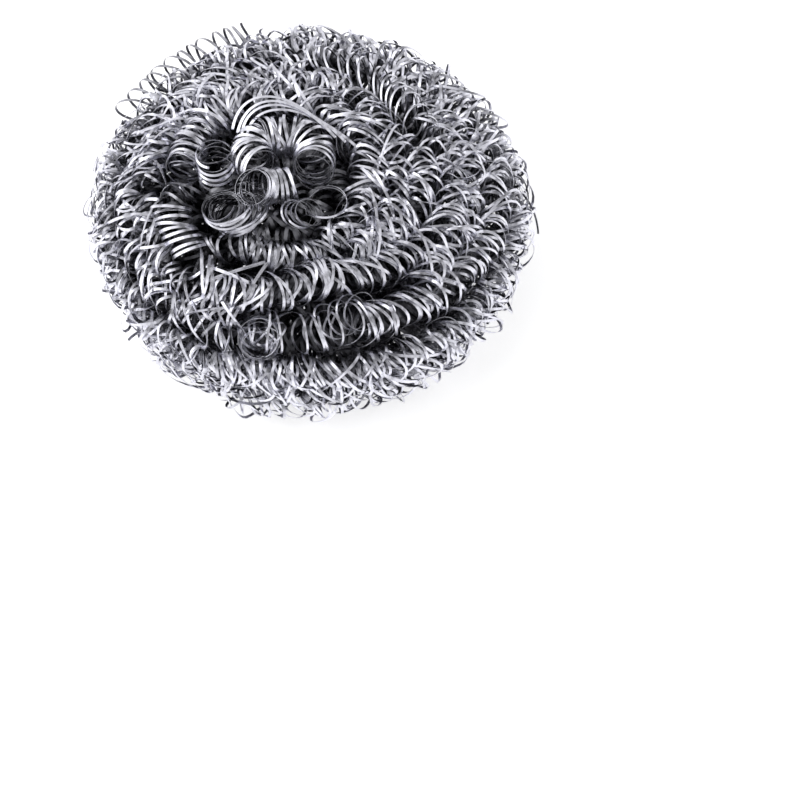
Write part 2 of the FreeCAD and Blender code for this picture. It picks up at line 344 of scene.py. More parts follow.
def ribbon_noise(tree, stretch, detail):
    place = add_node(tree, "ShaderNodeCombineXYZ")
    for socket, name in zip("XYZ", ("ribbon_along", "ribbon_edge", "ribbon_tone")):
        tree.links.new(attribute_of(tree, name), place.inputs[socket])
    scaled = add_node(tree, "ShaderNodeVectorMath", operation="MULTIPLY")
    scaled.inputs[1].default_value = stretch
    noise = add_node(tree, "ShaderNodeTexNoise")
    noise.inputs["Scale"].default_value = 1.0
    noise.inputs["Detail"].default_value = detail
    tree.links.new(place.outputs["Vector"], scaled.inputs[0])
    tree.links.new(scaled.outputs["Vector"], noise.inputs["Vector"])
    return noise.outputs["Fac"]


line_group, given, result = new_group(
    "RollLines",
    (
        ("Smooth", "INPUT", "NodeSocketFloat"),
        ("Rough", "INPUT", "NodeSocketFloat"),
        ("Roughness", "OUTPUT", "NodeSocketFloat"),
        ("Height", "OUTPUT", "NodeSocketFloat"),
    ),
)
link = line_group.links.new
level = add_node(line_group, "ShaderNodeMapRange")
level.inputs["From Min"].default_value = 0.3
level.inputs["From Max"].default_value = 0.7
link(ribbon_noise(line_group, LINE_STRETCH, 2.0), level.inputs["Value"])
link(given.outputs["Smooth"], level.inputs["To Min"])
link(given.outputs["Rough"], level.inputs["To Max"])
link(level.outputs["Result"], result.inputs["Roughness"])
link(ribbon_noise(line_group, WAVE_STRETCH, 1.0), result.inputs["Height"])
print(line_group.name, "with", len(line_group.nodes), "nodes")

# %% Materials
WAVE_HEIGHT = 0.25 * MM
PATCH_SIZE = 450.0


def steel(name, deep, bright, smooth, rough, patch_share):
    material = bpy.data.materials.new(name)
    material.use_nodes = True
    tree = material.node_tree
    shader = tree.nodes["Principled BSDF"]
    shader.inputs["Metallic"].default_value = 1.0
    tone = add_node(tree, "ShaderNodeGroup", node_tree=tone_and_shade_group)
    # the dark colour is where painted shade and dark tone patches lead
    tone.inputs["Shade Color"].default_value = (*deep, 1.0)
    tone.inputs["Bright"].default_value = (*bright, 1.0)
    tone.inputs["Patch Size"].default_value = PATCH_SIZE
    tone.inputs["Patch Share"].default_value = patch_share
    roll = add_node(tree, "ShaderNodeGroup", node_tree=line_group)
    roll.inputs["Smooth"].default_value = smooth
    roll.inputs["Rough"].default_value = rough
    relief = add_node(tree, "ShaderNodeBump")
    relief.inputs["Strength"].default_value = 1.0
    relief.inputs["Distance"].default_value = WAVE_HEIGHT
    tree.links.new(tone.outputs["Color"], shader.inputs["Base Color"])
    tree.links.new(roll.outputs["Roughness"], shader.inputs["Roughness"])
    tree.links.new(roll.outputs["Height"], relief.inputs["Height"])
    tree.links.new(relief.outputs["Normal"], shader.inputs["Normal"])
    return material


bright_steel = steel("bright_rolled_steel", (0.06, 0.06, 0.068), (0.78, 0.78, 0.86), 0.20, 0.40, 0.8)
# painted shade: the inner steel is a darker copy of the bright steel, for ribbon inside the ball
inner_steel = steel("shaded_rolled_steel", (0.06, 0.06, 0.0675), (0.27, 0.27, 0.295), 0.30, 0.50, 0.63)
FINISHES = {"bright_ribbon": bright_steel, "inner_ribbon": inner_steel}
print("finishes", list(FINISHES))

# %% [markdown]
# ## A piece from many strips
# All strips of one strand become one mesh. Four attributes go with it for the material: how far along the ribbon
# a point is, on which edge, a tone of its own for each ribbon, and how much painted shade it gets, more where it
# lies deep in its coil. A tidy map with one small cell per step of ribbon is laid out too, because an automatic
# unwrap of thousands of thin strips would take very long.

# %% Map of a piece
SIDE_EDGES = np.array([0.0, 0.44, 0.5, 0.94, 1.0])
SPARE_WIDTH = 0.01


def lay_out_map(mesh, side_count, face_count):
    cells = side_count // 4
    columns = math.ceil(math.sqrt(cells))
    rows = math.ceil(cells / columns) + 1
    cell, side = np.divmod(np.arange(side_count), 4)
    row, column = np.divmod(cell, columns)
    left, right = column / columns, (column + 1) / columns
    low, high = (row + SIDE_EDGES[side]) / rows, (row + SIDE_EDGES[side + 1]) / rows
    corners = np.stack([left, low, left, high, right, high, right, low], 1)
    bottom = 1.0 - 0.5 / rows
    spare = [0.0, bottom, SPARE_WIDTH, bottom, SPARE_WIDTH, 1.0, 0.0, 1.0]
    layer = mesh.uv_layers.new(name="OFBake")
    places = np.concatenate([corners, np.tile(spare, (face_count - side_count, 1))])
    layer.uv.foreach_set("vector", places.astype(np.float32).ravel())


print("a flat side takes", SIDE_EDGES[1], "of its cell, an edge", round(SIDE_EDGES[2] - SIDE_EDGES[1], 2))

# %% Mesh of a piece
EDGE_OF_CORNER = [-1.0, 1.0, 1.0, -1.0]


def join_strips(strips):
    sides, ends = [], []
    values = {"ribbon_along": [], "ribbon_edge": [], "ribbon_tone": [], "ribbon_depth": []}
    first = 0
    for s in strips:
        count = len(s["rings"])
        around, caps = strip_faces(count, first)
        sides.append(around)
        ends.append(caps)
        values["ribbon_along"].append(np.repeat(s["run"], 4))
        values["ribbon_edge"].append(np.tile(EDGE_OF_CORNER, count))
        values["ribbon_tone"].append(np.full(4 * count, s["tone"]))
        # painted shade per corner
        values["ribbon_depth"].append(s["depth"].ravel())
        first += 4 * count
    places = np.concatenate([s["rings"].reshape(-1, 3) for s in strips])
    faces = np.concatenate(sides + ends).astype(np.int32)
    return places, faces, sum(len(f) for f in sides), values


def ribbon_mesh(name, strips):
    places, faces, side_count, values_by_name = join_strips(strips)
    mesh = bpy.data.meshes.new(name)
    mesh.vertices.add(len(places))
    mesh.vertices.foreach_set("co", places.astype(np.float32).ravel())
    mesh.loops.add(faces.size)
    mesh.loops.foreach_set("vertex_index", faces.ravel())
    mesh.polygons.add(len(faces))
    mesh.polygons.foreach_set("loop_start", np.arange(0, faces.size, 4, dtype=np.int32))
    mesh.update(calc_edges=True)
    mesh.polygons.foreach_set("use_smooth", np.ones(len(faces), bool))
    pairs = np.empty(2 * len(mesh.edges), np.int32)
    mesh.edges.foreach_get("vertices", pairs)
    pairs = pairs.reshape(-1, 2)
    sharp = mesh.attributes.new("sharp_edge", "BOOLEAN", "EDGE")
    sharp.data.foreach_set("value", pairs[:, 0] % 4 == pairs[:, 1] % 4)
    for label, values in values_by_name.items():
        attribute = mesh.attributes.new(label, "FLOAT", "POINT")
        attribute.data.foreach_set("value", np.concatenate(values).astype(np.float32))
    lay_out_map(mesh, side_count, len(faces))
    return mesh


def piece(name, strips, slot, *nodes):
    mesh = ribbon_mesh(name, strips)
    mesh.materials.append(FINISHES[slot])
    made = bpy.data.objects.new(name, mesh)
    bpy.context.scene.collection.objects.link(made)
    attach(made, "root")
    if nodes:
        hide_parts(*nodes)
    print(name, len(strips), "ribbons,", 2 * len(mesh.polygons), "triangles")


print("pieces ready to be made in", list(FINISHES))

# %% [markdown]
# ## Uneven by nature
# No two turns of a worn-in scrubber are alike. Noise from a table would do, but a sum of a few sine waves with
# seeded phases wanders smoothly, gives the same numbers on every run, and has a known wavelength. So it is used
# for every unevenness: how close turns lie, how wide they are, how far they lean and where the coil drifts to.

# %% Wandering values
WAVE_COUNT = 5
WAVE_LEVEL = 2.2
SLOWEST, FASTEST = 0.45, 1.7
SPRUNG_WIDTH = 0.45
LEAST_SPRUNG = 0.3


def wander(seed, wavelength):
    rng = np.random.default_rng(seed)
    rates = 2 * math.pi / wavelength * rng.uniform(SLOWEST, FASTEST, WAVE_COUNT)
    phases = rng.uniform(0, 2 * math.pi, WAVE_COUNT)
    return lambda x: np.sin(np.asarray(x)[..., None] * rates + phases).sum(-1) / WAVE_LEVEL


def sprung_turns(turn, seed, share, most):
    rng = np.random.default_rng(seed)
    spots = rng.uniform(turn[0], turn[-1], max(1, int((turn[-1] - turn[0]) * share)))
    gain = rng.uniform(LEAST_SPRUNG, 1.0, len(spots)) * most
    return (gain * np.exp(-(((turn[:, None] - spots) / SPRUNG_WIDTH) ** 2))).sum(1)


print("wandering from", wander(1, 3.0)(np.linspace(0, 9, 4)).round(2))

# %% [markdown]
# ## Winding a coil
# A coil is a helix round its axis. A screw modifier could wind it, but every turn would be the same. Here turns
# gather in groups, lean over and swell, more on a messy coil than on a neat one, and a coil may lie a little to
# one side of its lap. Painted shade darkens the side of a turn that looks into the ball, the inner face of the
# ribbon and rows sunk into the ball.

# %% Turns along an axis
FINE_STEPS = 3000
LEAST_SEGMENTS = 8
GROUP_LENGTH = 4.5
UNEVEN = {
    # what wanders: step of the seed, size and wavelength in turns
    "swell": ((1, 0.12, 5.0), (2, 0.10, 1.4)),
    "opening": ((4, 0.45, 7.0), (5, 0.20, 1.6)),
    "slant": ((6, 0.60, 6.0), (7, 0.25, 1.5)),
    "drift_out": ((8, 0.10, 6.0),),
    "drift_side": ((9, 0.20, 6.0),),
    "roll": ((10, 0.45, 1.7),),
    "kink": ((11, 0.15, 0.4),),
}


def uneven_by(name, seed, turn):
    return sum(size * wander(seed + step, length)(turn) for step, size, length in UNEVEN[name])


def turns_along(axis, seed, pitch, gather, segments):
    fine = np.linspace(0.0, axis.length, FINE_STEPS)
    pitch_here = np.interp(fine, axis.run, np.broadcast_to(pitch, axis.run.shape))
    rate = 1 / (pitch_here * np.exp(gather * wander(seed, GROUP_LENGTH)(fine / pitch_here.mean())))
    turn_at = np.concatenate([[0.0], np.cumsum((rate[1:] + rate[:-1]) / 2 * np.diff(fine))])
    turn = np.linspace(0.0, turn_at[-1], max(LEAST_SEGMENTS, int(turn_at[-1] * segments)))
    return turn, np.interp(turn, turn_at, fine)


test_turn, _ = turns_along(lap_axis(0.0, 0.8), 1, 2.0 * MM, 0.4, 22)
print("first strand at 2 mm pitch takes", round(test_turn[-1], 1), "turns")

# %% Coils
MOST_LEAN = math.radians(52)
MOST_SPRING = 0.5
SUNK_SHADE = 0.18 / MM
MOST_SHADE = 0.9


def coil(axis, seed, pitch, radius, mess=0.5, opening=0.0, slant=0.0, tone=0.5, spring=0.0, **look):
    turn, run = turns_along(axis, seed, pitch, look.get("gather", 0.4), look.get("segments", 22))
    place, along, out, side = (axis.read(v, run) for v in (axis.points, axis.along, axis.out, axis.side))
    along, out, side = unit(along), unit(out), unit(side)
    given_along_run = (radius, mess, opening, slant, look.get("aside", 0.0), look.get("lift", 0.0))
    radius, mess, opening, slant, aside, lift = (
        np.interp(run, axis.run, np.broadcast_to(v, axis.run.shape)) for v in given_along_run
    )
    swell = 1 + mess * uneven_by("swell", seed, turn)
    if spring:
        swell = swell + sprung_turns(turn, seed + 3, spring, MOST_SPRING)
    size = radius * swell
    opening = opening + mess * uneven_by("opening", seed, turn)
    slant = slant + mess * uneven_by("slant", seed, turn)
    opening, slant = (MOST_LEAN * np.tanh(lean / MOST_LEAN) for lean in (opening, slant))
    drift_out = radius * mess * uneven_by("drift_out", seed, turn) + lift
    drift_side = radius * mess * uneven_by("drift_side", seed, turn) + aside
    phase = 2 * math.pi * turn + look.get("start", 0.0)
    cos, sin = np.cos(phase), np.sin(phase)
    points = (
        place
        + out * (size * cos + drift_out)[:, None]
        + side * (size * sin + drift_side)[:, None]
        + along * (size * np.tan(opening) * cos + size * np.tan(slant) * sin)[:, None]
    )
    roll = mess * uneven_by("roll", seed, turn) + uneven_by("kink", seed, turn) + look.get("roll", 0.0)
    facing = out * cos[:, None] + side * sin[:, None] + along * np.tan(roll)[:, None]
    # painted shade: darker on the side of a turn that faces into the ball, on sunk rows and on the inner face of
    # the ribbon
    sunk = SUNK_SHADE * np.maximum(-lift, 0.0)
    depth = look.get("depth", ((1 - cos) / 2) ** 1.5) + look.get("deeper", 0.0) + sunk
    depth = MOST_SHADE * np.minimum(depth, 1.0)
    inner_depth = depth + MOST_SHADE * look.get("inside", 0.35)
    inner_depth = np.minimum(inner_depth, look.get("darkest", MOST_SHADE))
    return strip(points, facing, depth, inner_depth, tone, look.get("width", RIBBON_WIDTH))


test_coil = coil(lap_axis(0.0, 0.8), 1, 2.0 * MM, STRAND_RADIUS)
print("its ribbon would be", round(test_coil["run"][-1], 2), "m long")

# %% [markdown]
# ## The strands
# Each strand is a bundle of ribbons: one that gives the strand its look, one further in, and two that have lost
# their set and stray. A strand doesn't lie the same everywhere. The front laps are neat with turns that lean
# open, the back is loose and the rim is a mess, and where the laps lie far apart a second row has slipped in
# between. So each strand has short tables of how its rows lie at chosen laps.

# %% Rows of the first strand
# a row's lines: lap, outward place, lift and radius in mm, mess, opening and slant in degrees, pitch in mm
STRANDS = {}
STRANDS["shoulder_strand"] = (
    (
        (0.00, 0.5, -2.2, 3.0, 0.50, 5, 0, 1.2),
        (0.12, 1.0, -2.2, 3.1, 0.70, 10, 5, 1.3),
        (0.20, 0.5, -1.0, 3.3, 0.90, 20, -10, 1.6),
        (0.30, -0.5, 0.0, 3.5, 1.00, 15, -25, 1.7),
        (0.40, -0.5, 0.0, 3.8, 1.00, 15, -35, 1.7),
        (0.50, 0.0, 0.0, 4.0, 1.00, 20, -40, 1.8),
        (0.60, 0.0, 0.0, 3.7, 1.00, 30, -35, 1.9),
        (0.70, 0.0, 0.0, 3.7, 0.60, 30, -10, 1.6),
    ),
    (
        (0.18, 5.0, 0.0, 3.0, 1.00, 25, 5, 1.9),
        (0.30, 5.2, 0.0, 3.2, 1.10, 20, -20, 1.9),
        (0.45, 5.2, 0.0, 3.2, 1.20, 10, -20, 1.9),
        (0.60, 4.6, 0.0, 3.0, 1.20, 0, 10, 1.9),
        (0.72, 4.6, 0.0, 3.0, 1.30, 0, 0, 1.9),
        (0.81, 4.6, 0.0, 2.8, 1.30, 0, 20, 1.9),
    ),
)
print("shoulder_strand has", len(STRANDS["shoulder_strand"]), "rows")

# %% Rows of the upper side
STRANDS["upper_side_strand"] = (
    (
        (0.955, 1.0, 0.0, 3.3, 0.90, 25, 10, 1.8),
        (1.00, 2.0, 0.0, 3.5, 0.60, 30, 5, 1.9),
        (1.05, 0.0, 0.0, 3.6, 0.45, 32, 5, 2.0),
        (1.10, -2.6, 0.0, 3.7, 0.45, 35, 5, 2.1),
        (1.15, -2.0, 0.0, 3.8, 0.45, 38, 8, 2.2),
        (1.20, 0.5, 0.0, 3.8, 0.45, 38, 10, 2.3),
        (1.25, 4.5, 0.0, 3.8, 0.55, 38, 5, 2.3),
        (1.30, 5.5, 0.0, 3.6, 0.90, 30, -15, 2.1),
        (1.36, 6.3, -0.6, 3.2, 1.10, 20, -30, 1.9),
        (1.48, 6.0, -0.6, 2.8, 1.20, 10, 0, 1.9),
    ),
    (
        (1.17, -5.5, 0.0, 2.8, 0.80, 30, 0, 1.9),
        (1.22, -3.5, 0.0, 3.2, 0.80, 30, -5, 1.9),
        (1.30, -1.0, 0.0, 3.4, 0.90, 25, -25, 1.9),
        (1.36, -0.5, 0.0, 3.5, 1.00, 20, -35, 1.9),
    ),
    (
        (1.55, 0.0, 0.0, 3.2, 1.10, 10, 15, 2.0),
        (1.75, 0.0, 0.0, 3.2, 1.20, 10, 20, 2.0),
        (1.80, 1.0, 0.0, 2.8, 1.20, 10, 20, 1.8),
        (1.94, 1.0, 0.0, 2.8, 1.30, -10, 10, 1.8),
        (2.015, 1.0, -0.5, 2.8, 1.30, 0, 10, 1.8),
    ),
    (
        (1.84, -2.8, -0.8, 2.6, 1.30, 10, 0, 1.9),
        (1.95, -2.8, -1.0, 2.6, 1.30, 0, 10, 1.9),
        (2.02, -3.5, -1.0, 2.8, 1.30, 0, -10, 1.9),
    ),
    (
        (1.50, -4.8, 0.0, 2.8, 1.20, 0, 10, 2.0),
        (1.65, -4.4, 0.0, 2.8, 1.20, 0, -10, 2.0),
        (1.80, -4.2, 0.0, 2.8, 1.30, 0, 10, 2.0),
    ),
)
print("upper_side_strand has", len(STRANDS["upper_side_strand"]), "rows")

# %% Rows of the upper rim
STRANDS["upper_rim_strand"] = (
    (
        (2.13, -3.0, 0.0, 3.6, 0.50, 25, 0, 2.6),
        (2.18, -1.5, 0.0, 3.7, 0.50, 28, 0, 2.6),
        (2.24, 1.0, 0.0, 3.7, 0.60, 28, 0, 2.5),
        (2.30, 2.5, 0.6, 3.5, 0.80, 25, 0, 2.3),
        (2.42, 1.0, 0.5, 3.4, 1.20, 10, 0, 2.1),
        (2.56, 0.0, 1.6, 3.4, 1.10, 15, 0, 2.1),
        (2.60, 0.0, 1.6, 3.2, 1.10, 10, 10, 2.1),
        (2.63, 0.0, -1.5, 3.0, 1.10, 10, 10, 2.1),
        (2.72, 0.0, -1.5, 3.0, 1.10, 10, 10, 2.1),
        (2.76, 0.0, 1.6, 3.1, 1.30, 10, 15, 1.9),
        (2.83, 0.0, 2.6, 3.0, 1.40, 5, 10, 1.8),
        (2.90, 0.0, 2.0, 2.9, 1.40, -10, -15, 1.8),
        (3.00, 0.0, 1.2, 2.9, 1.30, 0, 0, 1.8),
        (3.09, 0.0, 0.0, 3.3, 1.20, 15, 0, 2.0),
    ),
    (
        (2.20, -4.5, 0.0, 3.0, 0.80, 28, -5, 2.0),
        (2.30, -3.5, 0.0, 3.1, 1.00, 20, -15, 2.0),
        (2.40, -4.0, 0.0, 3.0, 1.20, 10, 0, 2.0),
        (2.55, -4.5, 0.0, 2.9, 1.20, 0, 0, 2.0),
        (2.80, -4.3, 0.5, 2.7, 1.30, 0, 0, 1.8),
        (3.07, -4.0, 0.5, 2.7, 1.30, 0, 0, 1.8),
    ),
)
print("upper_rim_strand has", len(STRANDS["upper_rim_strand"]), "rows")

# %% Rows of the rim and the base
STRANDS["rim_strand"] = (
    (
        (3.10, 0.0, 0.0, 3.6, 1.20, 15, 10, 2.1),
        (3.30, 0.0, 1.0, 3.6, 1.20, 10, 0, 2.1),
        (3.45, 0.0, 0.0, 3.6, 1.30, 0, -10, 2.1),
        (3.72, 0.0, 0.5, 3.4, 1.30, 10, 15, 2.0),
        (3.80, 0.0, 1.0, 2.9, 1.30, 10, 15, 1.8),
        (3.88, 0.0, 1.4, 2.9, 1.30, -5, 10, 1.8),
        (3.94, 0.0, 2.6, 3.0, 1.20, 10, 0, 1.8),
        (3.99, 0.0, 1.8, 3.3, 1.20, 15, 0, 2.0),
    ),
    (
        (3.00, -4.0, 0.0, 3.0, 1.00, 15, 0, 2.0),
        (3.40, -4.0, 0.0, 3.0, 1.20, 0, 0, 2.0),
        (3.99, -4.2, 0.0, 3.0, 1.20, 0, 0, 2.0),
    ),
)
STRANDS["lower_rim_strand"] = (
    (
        (4.00, 0.0, 2.0, 3.7, 1.10, 20, 0, 2.1),
        (4.10, 0.0, 0.5, 3.7, 1.10, 20, 0, 2.1),
        (4.84, 0.0, 0.0, 3.7, 1.10, 20, 0, 2.1),
    ),
)
STRANDS["base_strand"] = (
    (
        (4.85, 0.0, 0.0, 3.8, 1.10, 0, 0, 2.1),
        (TOTAL_LAPS, 0.0, 0.0, 3.8, 0.80, 0, 0, 2.1),
    ),
)
print("tables for", list(STRANDS))

# %% Ribbons of a row
RIBBONS = (
    # pitch, radius and mess as shares of the row's own, sprung turns, tone, segments to a turn, extra painted
    # shade, which course it wanders on, start angle
    (1.0, 1.00, 1.0, 0.04, 0.60, 24, 0.0, 0, 0.0),
    (1.4, 0.78, 1.3, 0.03, 0.50, 18, 0.30, 20, 2.1),
    (1.8, 1.03, 1.5, 0.08, 0.80, 24, 0.0, 40, 4.2),
    (2.6, 0.97, 1.8, 0.12, 0.30, 24, 0.05, 60, 5.0),
)


def wound_run(rows, seed):
    laps, *columns = np.array(rows).T
    axis = lap_axis(laps[0], laps[-1])
    aside, lift, radius, mess, opening, slant, pitch = (np.interp(axis.laps, laps, column) for column in columns)
    for spread, share, wild, spring, tone, segments, deeper, course, start in RIBBONS:
        yield coil(
            axis,
            seed + course,
            pitch * spread * MM,
            radius * share * MM,
            mess * wild,
            np.radians(opening),
            np.radians(slant),
            tone,
            spring,
            start=start,
            aside=aside * MM,
            lift=lift * MM,
            segments=segments,
            deeper=deeper,
        )


print(len(RIBBONS), "ribbons to a row")

# %% Winding the strands
SEEDS_PER_STRAND = 100
SEEDS_PER_ROW = 1000

strand_strips = {}
for number, (name, table) in enumerate(STRANDS.items()):
    first_seed = SEEDS_PER_STRAND * (number + 1)
    strand_strips[name] = []
    for at, rows in enumerate(table):
        strand_strips[name] += wound_run(rows, first_seed + SEEDS_PER_ROW * at)
    print(name, len(strand_strips[name]), "ribbons")

# %% [markdown]
# ## Ends that stand out
# The first strand starts under the rosette and ends behind its left side in a coil that looks up, with a few
# more turns in the gap beside it. At the back left, loops stand up from the rim, on the right a coil has come
# apart into open rings, and beside it one ribbon rings on its own. They could be pieces of their own, but they
# belong to the strands, so they are wound with the same coil and join the strands' meshes.

# %% Ends of the first strand
# painted shade on these ends: slight on the outer side, more on the inner face
end_look = dict(segments=40, gather=0.2, depth=0.1, inside=0.4)
GAP_TURNS = ((1.6, 3.2), (2.2, 2.8), (2.4, 3.5))  # pitch and radius in mm

shoulder_start = bent_axis((-19.4, -16.2, 30.2), (-17.0, -16.6, 30.6), (-14.6, -16.6, 31.0), (-12.0, -16.6, 31.2))
shoulder_end = bent_axis((-21.6, 11.2, 32.0), (-23.6, 8.0, 32.4), (-24.8, 3.6, 31.6), (-25.2, -0.2, 33.2))
gap_axis = bent_axis((-23.6, -1.5, 27.6), (-25.4, -2.6, 28.2), (-26.6, -4.0, 28.4), (-27.2, -6.0, 28.2))
first_strand_ends = [
    coil(shoulder_start, 1480, 1.5 * MM, 2.9 * MM, 0.8, tone=0.4, deeper=0.35, inside=0.5),
    coil(shoulder_end, 1500, 0.9 * MM, 3.6 * MM, 0.5, tone=0.4, width=0.5 * MM, **end_look),
    coil(shoulder_end, 1505, 1.5 * MM, 2.7 * MM, 0.9, tone=0.5, width=0.42 * MM, **end_look),
]
for number, (pitch, radius) in enumerate(GAP_TURNS):
    first_strand_ends.append(
        coil(gap_axis, 1540 + 20 * number, pitch * MM, radius * MM, 1.3, start=number, deeper=0.1)
    )
strand_strips["shoulder_strand"] += first_strand_ends
print("first strand has", len(first_strand_ends), "coils at its ends")

# %% Loops and rings that stand open
TOWARDS_VIEWER = (0.05, -0.35, 0.93)

# painted shade: the standing loops are half darkened
standing_look = dict(opening=math.radians(15), lift=3.8 * MM, tone=0.3, segments=40, depth=0.5, inside=0.2)
standing_loops = coil(lap_axis(2.615, 2.735), 1510, 2.3 * MM, 3.8 * MM, 0.3, **standing_look)
single_axis = facing_axis((28.3, 4.5, 31.8), (30.4, -0.8, 30.5), TOWARDS_VIEWER)
single_ring = coil(single_axis, 1520, 2.0 * MM, 3.3 * MM, 0.5, tone=0.2, roll=0.4, **end_look)
strand_strips["upper_rim_strand"] += [standing_loops, single_ring]

lane_axis = lap_axis(1.375, 1.54)
lane_radius = np.linspace(4.0, 3.4, len(lane_axis.run)) * MM
# painted shade: the open rings are darkened on their inner faces
lane_look = dict(opening=math.radians(60), lift=2.4 * MM, tone=0.5, segments=40, depth=0.1, inside=0.8)
open_rings = coil(lane_axis, 1530, 2.6 * MM, lane_radius, 0.25, width=0.42 * MM, **lane_look)
strand_strips["upper_side_strand"].append(open_rings)
print("open rings along", round(lane_axis.length / MM, 1), "mm")

# %% [markdown]
# ## Loose ribbon
# Two thin ribbon ends stand out from the rim, four ribbons arch over behind the rosette and three lie straight
# across the front. A single strip along a bent line is enough for each, with its flat side turned a given way.

# %% Loose ribbon ends
ARCH_FACING = (-0.1, 0.05, 0.98)
RIM_TAILS = (
    # width in mm, then four points of the bent line in mm
    (0.3, ((38.6, 9.6, 20.0), (42.4, 8.0, 19.0), (43.6, 4.0, 18.0), (41.8, -0.6, 17.0))),
    (0.4, ((39.2, 6.0, 18.6), (42.0, 4.4, 18.4), (44.4, 2.0, 16.0), (44.8, -1.6, 12.4))),
)
ARCHES = (
    # four points of each bent line in mm
    ((-13.9, 7.0, 34.6), (-13.4, 14.0, 38.2), (-3.0, 14.6, 38.4), (6.4, 4.6, 35.8)),
    ((-14.8, 7.6, 34.4), (-13.0, 15.2, 38.4), (-4.0, 15.0, 38.6), (4.4, 5.4, 36.2)),
    ((-12.9, 6.6, 34.8), (-12.0, 13.0, 38.0), (-2.0, 13.4, 38.2), (8.8, 3.6, 35.2)),
    ((-15.8, 8.6, 34.2), (-14.6, 16.0, 38.0), (-6.0, 16.2, 38.2), (1.6, 8.4, 36.6)),
)
CROSSING = (
    # four points of each bent line in mm
    ((-20.1, -25.1, 32.5), (-16.0, -23.5, 33.2), (-12.0, -22.3, 33.4), (-8.7, -20.9, 33.0)),
    ((-19.8, -21.9, 33.2), (-16.6, -23.2, 33.6), (-13.0, -24.8, 33.4), (-10.1, -26.2, 32.8)),
    ((-12.4, -28.7, 32.3), (-11.0, -26.2, 33.4), (-9.4, -23.6, 33.8), (-8.2, -21.3, 33.4)),
)


def loose_strip(points, facing, *look):
    return strip(bent_axis(*points).points, np.tile(facing, (CURL_POINTS, 1)), *look)


# the two numbers after the facing are painted shade on the outer and the inner face, then the tone
for width, points in RIM_TAILS:
    axis = bent_axis(*points)
    strand_strips["rim_strand"].append(strip(axis.points, axis.out, 0.7, 0.7, 0.2, width * MM))
strand_strips["shoulder_strand"] += [loose_strip(points, ARCH_FACING, 0.05, 0.5, 0.8) for points in ARCHES]
strand_strips["upper_side_strand"] += [
    loose_strip(points, TOWARDS_VIEWER, 0.1, 0.4, 0.8, 0.6 * MM) for points in CROSSING
]
print("loose ribbons", len(RIM_TAILS) + len(ARCHES) + len(CROSSING))

# %% Strand pieces
for name, strips in strand_strips.items():
    piece(name + "_ribbon", strips, "bright_ribbon", name)

# %% [markdown]
# ## The heart
# Inside, the laps go on. A dark ball would hide the gaps too, but would show as a smooth patch. Two more layers
# of the same coil, set in under the outer strands, and flat spirals across the middle make the ball dense, so
# that nothing shines through. They are in the darker steel and carry strong painted shade.

# %% Inner laps
SPIRAL_POINTS = 200


def spiral_axis(x, y, z, outer, gap):
    angle = np.linspace(0.0, 2 * math.pi * outer / gap, SPIRAL_POINTS)
    radius = outer - gap * angle / (2 * math.pi)
    points = np.stack([x + radius * np.cos(angle), y + radius * np.sin(angle), 0 * angle + z], 1)
    return Axis(points * MM, np.tile(UP, (SPIRAL_POINTS, 1)))


INNER_LAYERS = (
    # axis, pitch and radius in mm, painted shade
    (lap_axis(0.0, 5.3, 7.4 * MM), 1.8, 4.4, 0.8),
    (lap_axis(0.0, 3.6, 14.0 * MM), 2.1, 4.6, 1.0),
    (spiral_axis(-7.0, -3.6, 28.8, 12.5, 4.0), 1.0, 2.4, 0.0),
    (spiral_axis(-7.0, -3.6, 25.0, 14.0, 6.0), 1.4, 4.2, 1.0),
    (spiral_axis(-4.0, -2.0, 18.0, 18.0, 6.5), 1.5, 4.4, 1.0),
    (spiral_axis(0.0, 0.0, 9.5, 20.0, 6.5), 1.5, 4.4, 1.0),
)
inner_look = dict(tone=0.3, segments=15, width=0.7 * MM)
inner_strips = [
    coil(axis, 900 + 20 * number, pitch * MM, radius * MM, 1.0, depth=depth, **inner_look)
    for number, (axis, pitch, radius, depth) in enumerate(INNER_LAYERS)
]
piece("heart_core_ribbon", inner_strips, "inner_ribbon", "heart_core")

# %% [markdown]
# ## The rosette
# On top, strand ends stand up as short, close coils with open mouths. Two of them arch over together from behind
# and pinch in the middle, one lies across the centre, one stands upright and one bends round at the front. Each
# is a close helix on a bent line, because a straight one would not show the fan of ribbons where the coil bends.
# Towards the mouth the turns draw apart, and a second, thinner ribbon inside shows as rings in the mouth, which
# painted shade on the curl's inner faces and on the rings makes dark.

# %% Rosette curls
CURLS = (
    # name, radius, pitch and ribbon width in mm, tilt of the ribbon, mess, then four points of the bent line in mm
    (
        ("crown_curl_left", 3.9, 0.85, 0.55, 0.2, 0.30),
        ((-5.8, 6.8, 34.2), (-11.4, 7.8, 34.6), (-14.2, 1.8, 34.4), (-9.5, -2.0, 37.0)),
    ),
    (
        ("crown_curl_right", 4.0, 1.10, 0.60, 0.2, 0.30),
        ((-6.9, 6.8, 34.2), (-1.6, 8.4, 35.2), (1.8, 2.8, 33.8), (0.1, -2.7, 37.4)),
    ),
    (
        ("centre_curl", 3.5, 0.95, 0.58, 0.2, 0.30),
        ((-3.2, -4.0, 34.4), (-6.4, -4.6, 34.2), (-10.2, -5.6, 35.2), (-11.3, -7.4, 38.2)),
    ),
    (
        ("standing_curl", 3.6, 2.0, 0.50, 0.70, 0.08),
        ((-18.8, 1.3, 27.0), (-18.8, 1.2, 30.6), (-18.8, 1.0, 34.2), (-18.8, 0.9, 37.8)),
    ),
)
MOUTH_RUN = 2.0 * MM
MOUTH_SPREAD = 0.6
